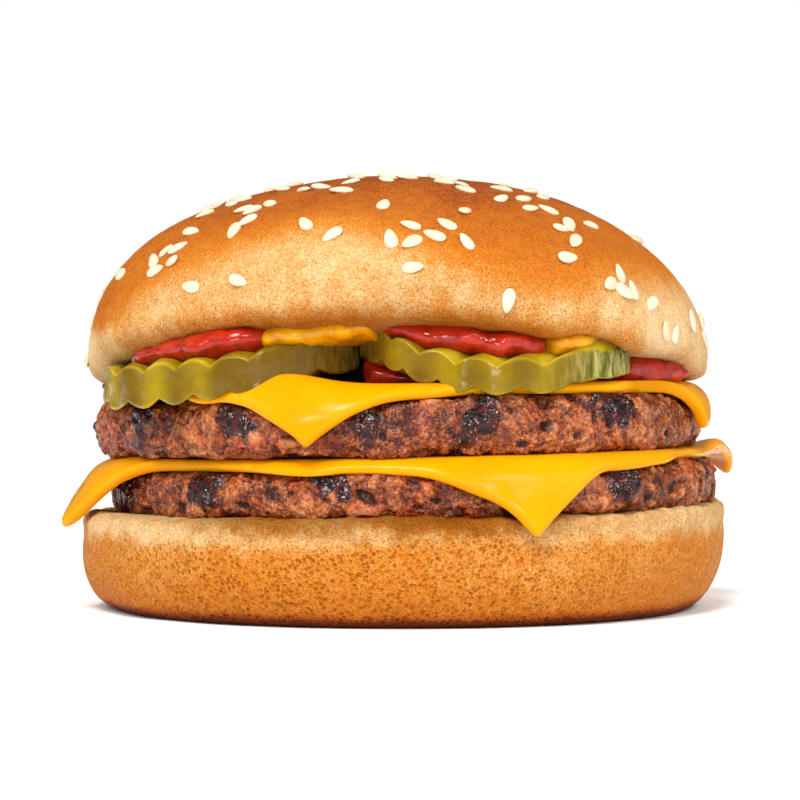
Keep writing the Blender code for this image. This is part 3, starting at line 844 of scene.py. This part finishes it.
def make_pickle(name, node, pickle, seed):
    turn = full_turn(PICKLE_AROUND)
    facing = math.radians(pickle["faces"])
    corner, flat_z = PICKLE_CORNER, pickle["thickness"] / 2
    inner = np.linspace(0.03, 1, 22)[:, None] ** 0.6
    arc = np.radians(np.linspace(0, 90, 6))[1:, None]
    wall = np.linspace(1, -1, 24)[1:-1, None] * (flat_z - corner)
    half_length, half_width = pickle["half"]
    rounded = corner * (1 - np.sin(arc))
    dropped = flat_z - corner * (1 - np.cos(arc))
    whole = np.ones_like(np.concatenate([arc, wall, arc]))
    inset = np.concatenate([corner + 0 * inner, rounded, 0 * wall, rounded[::-1], corner + 0 * inner])
    share = np.concatenate([inner, whole, inner[::-1]])
    z = np.concatenate([flat_z + 0 * inner, dropped, wall, -dropped[::-1], -flat_z + 0 * inner])

    power = 2 / PICKLE_FULLNESS
    uneven = 1 + 0.02 * np.sin(3 * turn + seed) + 0.012 * np.sin(7 * turn + 2 * seed)
    along = share * signed_power(np.sin(turn), power) * (half_length - inset) * uneven
    across = -share * signed_power(np.cos(turn), power) * (half_width - inset) * uneven
    fluted = 1 + 0.012 * np.sin(1.05 * along + seed) * smooth_step(share, 0.8, 1)
    along, across = along * fluted, across * fluted
    x = pickle["middle"][0] + along * math.cos(facing) - across * math.sin(facing)
    y = pickle["middle"][1] + along * math.sin(facing) + across * math.cos(facing)

    heading = math.radians(pickle["heading"])
    travelled = x * math.cos(heading) + y * math.sin(heading) - pickle["crest"]
    plan = np.stack([x, y, 0 * x], axis=-1)
    travelled = travelled + 0.3 * noise(plan, 12, seed + 8)
    on_top = (z + flat_z) / (2 * flat_z)
    above = scallop(travelled, pickle["wave"])
    below = -scallop(travelled + pickle["wave"] / 2, pickle["wave"])
    size = pickle["height"] * (1 + 0.25 * noise(plan, 10, seed + 9))
    wave = size * (above * on_top + below * (1 - on_top))
    plumpness = 1 + 0.06 * noise(plan, 9, seed)
    points = np.stack([x, y, pickle_rest(pickle, x, y) + z * plumpness + wave], axis=-1)

    on_wall = np.clip((flat_z - np.abs(z)) / 0.5, 0, 1)
    skin = humps(np.degrees(turn), *pickle["skin"]) * smooth_step(share, 0.93, 1.0)
    skin = np.clip(skin * 1.4 * on_wall, 0, 1)
    warts = skin * (0.40 * rough_noise(points * (1, 1, 0.35), 1.7, seed + 3) - 0.1)
    points = push_out(points, warts + 0.09 * noise(points, 2.6, seed + 4))
    # Painted light and shade in the flesh's colour: bands across the waves, the cut faces and edges
    # lighter as lit, one end darker as shade
    band = pickle["tone"] + 0.18 * np.sin(2 * math.pi * x / 7.5 + seed) + 0.10 * noise(points, 6, seed + 5)
    shade_from, shade = pickle["shade"]
    shaded = smooth_step(along * np.sign(shade_from), abs(shade_from) - 6, abs(shade_from) + 6)
    top_face = smooth_step(z, flat_z - 0.4, flat_z)
    pale = 1 - on_wall * (1 - top_face)
    band = band + PICKLE_PALE_EDGE * pale - shade * shaded
    make_rings(name, points, PICKLE, "pickle", node, skin=skin, band=band)


# ---- bun, top half

TOP_FULLNESS = 2.06  # exponent of the dome's outline: 2 is an ellipse
TOP_BELLY = 0.18  # share of the height where the dome is widest
TOP_LIP = 0.93  # share of the radius where the underside begins
TOP_BAKED_FROM = 54.5  # height round which the pale side turns into baked crust
TOP_BAKED_BENDS = ((5.5, -12, 17), (-4.0, 29, 19), (-10.0, -67, 16), (-1.5, 62, 15))

# How high the rim's underside stands over the table at each azimuth
TOP_RIM = (
    (-180, 36.9), (-110, 36.4), (-84, 35.8), (-72, 38.6), (-62, 40.7), (-53, 41.1), (-46, 42.3),
    (-36, 43.3), (-26, 44.1), (-10, 45.0), (1, 45.1), (13, 44.1), (27, 42.5), (36, 43.0), (43, 42.4),
    (47, 40.3), (58, 40.0), (66, 39.2), (75, 37.6), (86, 36.6), (100, 36.6), (180, 36.9),
)


def top_rim(azimuth):
    """The rim's height, smoothed between the named places."""
    places, heights = zip(*TOP_RIM)
    near = [turn_between(azimuth + step, 0) for step in (-3, -1.5, 0, 1.5, 3)]
    return sum(np.interp(place, places, heights) for place in near) / len(near)


def make_top():
    low, high = box_mm("bun_top")
    radius = (high[1] - low[1]) / 2
    lean = (low[0] + high[0]) / 2
    azimuth = ring_azimuths(AROUND)
    rim = top_rim(azimuth)

    out = np.sin(np.radians(np.linspace(1.0, 90, 78)))[:, None]
    fullness = TOP_FULLNESS + 0.13 * hump(azimuth, -90, 50)
    rise = np.clip(1 - out**fullness, 0, 1) ** (1 / fullness)
    belly = TOP_BELLY - humps(azimuth, (0.09, 90, 45), (0.09, -90, 45))
    dome_h = belly + (1 - belly) * rise
    lip_turn = np.radians(np.linspace(0, 90, 16))[1:, None]
    lip_r = TOP_LIP + (1 - TOP_LIP) * np.cos(lip_turn) ** 0.85
    lip_h = belly * (1 - np.sin(lip_turn) ** 0.85)
    under = np.linspace(TOP_LIP, 0.02, 9)[1:, None]
    share = np.concatenate([out, lip_r, under])
    rise_share = np.concatenate([dome_h, lip_h, 0 * under + 0 * azimuth])
    r = share * radius * (1 + 0.004 * np.sin(np.radians(2 * azimuth + 40)))
    z = rim + rise_share * (high[2] - rim)
    inside = len(out) + len(lip_r)
    vault = 6.5 * hump(azimuth, 0, 60) * (1 - under * 0.2)  # room for the filling at the front
    z[inside:] = np.minimum(z[inside:], rim.min() + 2.0 + vault)
    points = ring_points(r, z, AROUND)
    normals = ring_normals(points)
    shown = np.ones_like(r)
    shown[inside:] = 0

    low_band = smooth_step(rise_share, 0.45, 0.10)
    tall = points * (1, 1, 0.35)
    wrinkles = noises(tall, (0.16, 2.6, 51), (0.10, 1.2, 52)) + 0.28 * noise(points, 6, 56)
    relief = noises(points, (0.45, 22, 53), (0.16, 7, 54), (0.05, 1.5, 55)) + low_band * wrinkles
    points = points + normals * (relief * shown)[..., None]
    points[..., 0] += lean * smooth_step(rise_share, 0, 0.1)

    height = points[..., 2]
    blotches = noises(points, (1, 9, 61), (0.5, 4, 62))
    baked_from = TOP_BAKED_FROM + humps(azimuth, *TOP_BAKED_BENDS) + 1.8 * blotches
    baked = 0.44 * smooth_step(height, baked_from - 5.5, baked_from + 4.5)
    baked = baked + 0.20 * smooth_step(height, 57, 68)
    streaks = noises(tall, (0.08, 2.4, 64), (0.06, 0.9, 66))
    # Painted light: the low band paler towards the right side and low on the left side
    pallor = 0.22 * hump(azimuth, 64, 26) + 0.34 * hump(azimuth, -75, 22) * smooth_step(height, 46, 42)
    toasted = smooth_step(rise_share, 0.15, 0.0) * (0.7 + 0.5 * noise(points, 7, 65))
    toasted = toasted * (1 - 0.6 * hump(azimuth, 75, 25))
    bake = 0.17 + baked + 0.06 * blotches + low_band * (0.05 + streaks - pallor) + 0.30 * toasted
    # Fat darkens the rim's toasted lip; painted shade darkens the front of the low band
    grease = 0.55 * np.clip(toasted, 0, 1) * (1 - hump(azimuth, 38, 12))
    grease = grease + 0.25 * low_band * hump(azimuth, 7, 18)
    crumb = 0.10 + 0.15 * low_band
    make_rings("bun_crown", points, BUN, "bun", "bun_top", bake=bake, crumb=crumb, grease=grease)
    return points[: len(out)], normals[: len(out)]


# ---- sauces

PICKLE_SHOWS = 1.0  # how much of a pickle's top shows in front of the sauce on it
SAUCE_LEAST = 44.5  # how far out the sauce reaches at least
SAUCE_DEPTH = 8.0  # how far in from its front the middle of a lobe lies
SAUCE_SINK = 0.7  # how much lower a lobe's gap is taken to begin
SAUCE_SWELL = 0.35  # how far a lobe bulges past its gap, above and below
SAUCE_STEPS = 90  # along a lobe
SAUCE_AROUND = 32

# Each lobe: from and to azimuth, how far out it bulges, whether it lies over the pickles or under
# them, and how much lower it hangs at its end than at its start
KETCHUP_LOBES = (
    (-63, -24, 50.2, "over", 0.0), (-6, 31, 48.2, "over", 0.0), (51, 71, 49.6, "over", 0.0),
    (-10, 14, 38.0, "under", 0.0), (-98, -74, 49.0, "over", 0.0), (96, 140, 46.8, "over", 0.0),
    (196, 250, 46.6, "over", 0.0),
)
MUSTARD_LOBES = (
    (-28, -4, 48.8, "over", 1.6), (28, 43, 48.2, "over", 0.0), (146, 186, 46.8, "over", 0.0),
)


def filling_gap(azimuth, radius, place):
    """Bottom and top of the gap that a sauce fills: over all, or under the right pickle."""
    x, y = out_at(azimuth, radius)
    middle = smooth_step(azimuth, -8, -4)
    on_left = smooth_step(azimuth, -80, -70) * (1 - middle)
    on_right = middle * (1 - smooth_step(azimuth, 43, 47))
    if place == "under":
        return cheese_top(x), pickle_rest(RIGHT_PICKLE, x, y) - RIGHT_PICKLE["thickness"] / 2
    left = pickle_rest(LEFT_PICKLE, x, y) + LEFT_PICKLE["thickness"] / 2
    right = pickle_rest(RIGHT_PICKLE, x, y) + RIGHT_PICKLE["thickness"] / 2
    floor = cheese_top(x) * (1 - on_left - on_right) + left * on_left + right * on_right
    return floor, top_rim(azimuth) + 0.6


def behind_pickles(azimuth, reach):
    """How far out a sauce reaches: to just behind the pickles' front where they are."""
    total, weights = 0, 0
    for step in np.linspace(-9, 9, 55):  # degrees either way, so that the front has no steps
        turned = turn_between(azimuth + step, 0)
        front = np.maximum(pickle_front(LEFT_PICKLE, turned), pickle_front(RIGHT_PICKLE, turned))
        behind = np.clip(front - PICKLE_SHOWS, SAUCE_LEAST, reach)
        weight = math.cos(math.radians(step * 9)) ** 2
        total = total + weight * np.where(front > 0, behind, reach)
        weights = weights + weight
    return total / weights


def lobe_points(start, end, reach, place, sag, seed):
    """A closed sausage of sauce that fills a gap between two azimuths."""
    share = np.linspace(0.004, 0.996, SAUCE_STEPS)[:, None]
    azimuth = start + (end - start) * share
    turn = full_turn(SAUCE_AROUND)
    fade = (1 - np.abs(2 * share - 1) ** 5) ** 0.5
    if place == "over":
        reach = behind_pickles(azimuth, reach)
    floor, roof = filling_gap(turn_between(azimuth, 0), reach - 2.5, place)
    floor = floor - SAUCE_SINK - sag * share**2
    middle = (floor + roof) / 2
    half = np.maximum((roof - floor) / 2 + SAUCE_SWELL, 0.5) * (0.45 + 0.55 * fade)
    along = np.concatenate([azimuth / 3, azimuth * 0, azimuth * 0 + seed], axis=-1)
    wave = 0.8 * noise(along, 1.6, seed)[:, None]
    forward = SAUCE_DEPTH * signed_power(np.cos(turn), 0.8) + wave * np.cos(turn)
    r = reach - SAUCE_DEPTH + forward * fade
    z = middle + half * signed_power(np.sin(turn), 0.9)
    x, y = out_at(azimuth, r)
    points = np.stack([x, y, z], axis=-1)
    bulge = noises(points, (0.45, 3.4, seed + 1), (0.20, 1.5, seed + 2))
    return push_out(points, bulge * fade)


def make_sauce(name, node, material, lobes, seed):
    bodies = [lobe_points(*lobe, seed + 10 * number) for number, lobe in enumerate(lobes)]
    points, faces = join_bodies(bodies)
    make_piece(name, points, faces, material, [node])


# ---- sesame seeds

SEED_LENGTH = 3.5
SEED_WIDTH = 1.95
SEED_HEIGHT = 0.95
SEED_LIFT = 0.16  # how far the middle of a seed stands off the crust
CLUSTER_SPACE = 2.4  # least distance between seeds of the clusters, and then of the rest
FREE_SPACE = 3.2

# Clusters: azimuth, height over the table, how many seeds, and their spread in mm
SEED_CLUSTERS = (
    (-81, 39, 1, 0), (-64, 53, 1, 0), (-48, 54, 5, 3.0), (-48, 59, 1, 0), (-38, 50, 1, 0),
    (-28, 51, 1, 0), (-54, 62, 1, 0), (-35, 59.5, 2, 2.2), (-38, 62.5, 3, 2.2), (-60, 65, 3, 3.0),
    (-29, 65.5, 1, 0), (-15, 65, 1, 0), (-3, 62.5, 1, 0), (-18, 59.5, 1, 0), (-12, 57.5, 1, 0),
    (3, 57, 4, 3.0), (10, 59, 1, 0), (15, 61.5, 1, 0), (13, 56.5, 1, 0), (3, 52.5, 1, 0),
    (19, 66, 3, 4.0), (36, 63.5, 4, 3.0), (55, 64, 2, 3.0), (35, 60.5, 2, 2.5), (49, 60, 1, 0),
    (36, 57, 1, 0), (32, 54.5, 1, 0), (42, 50.5, 4, 2.6), (19, 47.5, 1, 0), (51, 48, 1, 0),
    (70, 45.5, 1, 0), (58, 41, 2, 1.8), (71, 58.5, 1, 0), (-50, 65.5, 4, 4.0), (-22, 67, 3, 4.0),
    (24, 67, 3, 4.0),
)
FREE_SEEDS = 100
FREE_TRIES = 6000
FRONT_HALF = 78  # degrees either way of the front where only clusters lie, up to FRONT_TOP
FRONT_TOP = 66.2


def seed_shape():
    """A flattened teardrop's rings, its long axis on X, its point towards +X."""
    along = np.cos(np.linspace(0.12, math.pi - 0.12, 13))[:, None]
    turn = full_turn(16)
    round_ = np.sqrt(1 - along**2) * (1 - 0.26 * along)
    x = along * SEED_LENGTH / 2 + 0 * turn
    y = round_ * np.cos(turn) * SEED_WIDTH / 2
    z = round_ * np.sin(turn) * SEED_HEIGHT / 2
    return np.stack([x, y, z], axis=-1)


def dome_spot(dome, normals, azimuth, height):
    """Point and normal of the crust at an azimuth and a height over the table."""
    column = int(round((azimuth % 360) / 360 * dome.shape[1])) % dome.shape[1]
    row = int(np.argmin(np.abs(dome[:, column, 2] - height)))
    return dome[row, column], normals[row, column]


def seed_spots(dome, normals, random):
    """Where the seeds stick: the clusters in front, then the rest of the dome evenly."""
    spots = []
    for azimuth, height, count, spread in SEED_CLUSTERS:
        for _ in range(40 * count):
            here, _ = dome_spot(dome, normals, azimuth, height)
            turn = azimuth + math.degrees(random.normal(0, 0.6) * spread / math.hypot(here[0], here[1]))
            climb = height + random.normal(0, 0.45) * spread
            point, normal = dome_spot(dome, normals, turn, climb)
            if all(np.linalg.norm(point - other) > CLUSTER_SPACE for other, _ in spots):
                spots.append((point, normal))
                count -= 1
            if count == 0:
                break
    wanted = len(spots) + FREE_SEEDS
    for _ in range(FREE_TRIES):
        azimuth, out = random.uniform(-180, 180), random.uniform(0, 1) ** 0.5
        height = 69 - 26 * out**2.4
        if len(spots) == wanted or (abs(azimuth) < FRONT_HALF and height < FRONT_TOP):
            continue
        point, normal = dome_spot(dome, normals, azimuth, height)
        if all(np.linalg.norm(point - other) > FREE_SPACE for other, _ in spots):
            spots.append((point, normal))
    return spots


def make_seeds(dome, normals):
    random = np.random.default_rng(5)
    spots = seed_spots(dome, normals, random)
    shape = seed_shape()
    seeds, toast = [], []
    for point, normal in spots:
        turn = random.uniform(0, 2 * math.pi)
        tilt = random.normal(0, 0.13)
        size = random.uniform(0.88, 1.10)
        side = unit(np.cross(normal, [0.3, 0.2, 1.0]))
        along = math.cos(turn) * side + math.sin(turn) * np.cross(normal, side)
        along = unit(along + tilt * normal)
        across = unit(np.cross(normal, along))
        up = np.cross(along, across)
        seeds.append(size * shape @ np.stack([along, across, up]) + point + up * SEED_LIFT)
        toast.append(random.uniform(0, 0.35))
    points, faces = join_bodies(seeds)
    toast = np.repeat(toast, len(points) // len(seeds))
    make_piece("sesame_seeds", points, faces, SESAME, (), {"toast": toast})


# ---- scene, in metres

AIM = (0, 0, 0.035)  # where the lights point
FLOOR_REACH = 20.0
SURROUND_LIGHT = 0.48  # what the white surround gives; the camera sees it as pure white
SURROUND_GLOSS = 0.12  # what glossy surfaces mirror of it

# Even lights over the whole floor, like wide diffusers: place, softness in degrees, strength
OVERHEADS = {
    "overhead": ((-0.12, -0.40, 0.60), 16, 1.72),
    "overhead_right": ((0.30, -0.32, 0.52), 14, 0.45),
}

# Softboxes: place, width and height, power
SOFTBOXES = {
    "front_strip": ((-0.06, -0.50, 0.45), (0.16, 0.05), 0.8),
    "left_spark": ((-0.26, -0.46, 0.34), (0.05, 0.02), 0.55),
    "right_spark": ((0.24, -0.50, 0.30), (0.05, 0.02), 0.50),
    "low_strip": ((0.04, -0.80, 0.14), (0.20, 0.08), 0.9),
    "left_softbox": ((-0.50, -0.10, 0.30), (0.40, 0.45), 0.6),
    "right_softbox": ((0.50, -0.15, 0.30), (0.40, 0.45), 0.7),
    "back_softbox": ((0.05, 0.34, 0.72), (0.60, 0.30), 0.5),
}

CAMERA_DISTANCE = 0.45
CAMERA_HEIGHT = 0.0334
CAMERA_LENS = 124.5


def make_floor():
    reach = FLOOR_REACH
    mesh = bpy.data.meshes.new("floor")
    corners = [(-reach, -reach, 0), (reach, -reach, 0), (reach, reach, 0), (-reach, reach, 0)]
    mesh.from_pydata(corners, [], [(0, 1, 2, 3)])
    mesh.materials.append(floor_material())
    floor = link_object("floor", mesh)


def make_light(name, kind, place, energy):
    """A light that stands at a place and shines at the middle of the burger."""
    data = bpy.data.lights.new(name, kind)
    data.energy = energy
    light = link_object(name, data)
    light.location = place
    light.rotation_euler = (Vector(AIM) - Vector(place)).to_track_quat("-Z", "Y").to_euler()
    return data


def make_surround():
    """White all round: pure white where the camera sees it, dimmer as a light, dim in reflections."""
    world = bpy.data.worlds.new("studio")
    world.use_nodes = True
    tree = world.node_tree
    background = tree.nodes["Background"]
    background.inputs["Color"].default_value = (1, 1, 1, 1)
    path = tree.nodes.new("ShaderNodeLightPath")
    strength = SURROUND_LIGHT
    for ray, level in (("Is Glossy Ray", SURROUND_GLOSS), ("Is Camera Ray", 1.0)):
        chosen = tree.nodes.new("ShaderNodeMapRange")
        tree.links.new(path.outputs[ray], chosen.inputs["Value"])
        if isinstance(strength, float):
            chosen.inputs["To Min"].default_value = strength
        else:
            tree.links.new(strength, chosen.inputs["To Min"])
        chosen.inputs["To Max"].default_value = level
        strength = chosen.outputs["Result"]
    tree.links.new(strength, background.inputs["Strength"])
    bpy.context.scene.world = world


def make_studio():
    make_surround()
    for name, (place, softness, strength) in OVERHEADS.items():
        make_light(name, "SUN", place, strength).angle = math.radians(softness)
    for name, (place, size, power) in SOFTBOXES.items():
        data = make_light(name, "AREA", place, power)
        data.shape = "RECTANGLE"
        data.size, data.size_y = size
    bpy.context.scene.view_settings.view_transform = "Standard"


def make_camera():
    data = bpy.data.cameras.new("camera")
    data.lens = CAMERA_LENS
    camera = link_object("camera", data)
    camera.location = (0, -CAMERA_DISTANCE, CAMERA_HEIGHT)
    camera.rotation_euler = (math.pi / 2, 0, 0)
    bpy.context.scene.camera = camera


make_heel()
make_patty("patty_low_grilled", "patty_lower", LOWER_SLOPE, LOWER_CHAR, LOWER_TONES, 300)
make_cheese("cheese_low_melted", "cheese_lower", "patty_lower", LOWER_SLICE, LOWER_SLOPE, 310)
make_patty("patty_high_grilled", "patty_upper", UPPER_SLOPE, UPPER_CHAR, UPPER_TONES, 400)
make_cheese("cheese_high_melted", "cheese_upper", "patty_upper", UPPER_SLICE, UPPER_SLOPE, 410)
make_pickle("pickle_left_slice", "pickle_left", LEFT_PICKLE, 1)
make_pickle("pickle_right_slice", "pickle_right", RIGHT_PICKLE, 2)
crust, crust_normals = make_top()
make_sauce("ketchup_lobes", "ketchup", KETCHUP, KETCHUP_LOBES, 70)
make_sauce("mustard_lobes", "mustard", MUSTARD, MUSTARD_LOBES, 90)
make_seeds(crust, crust_normals)
make_floor()
make_studio()
make_camera()
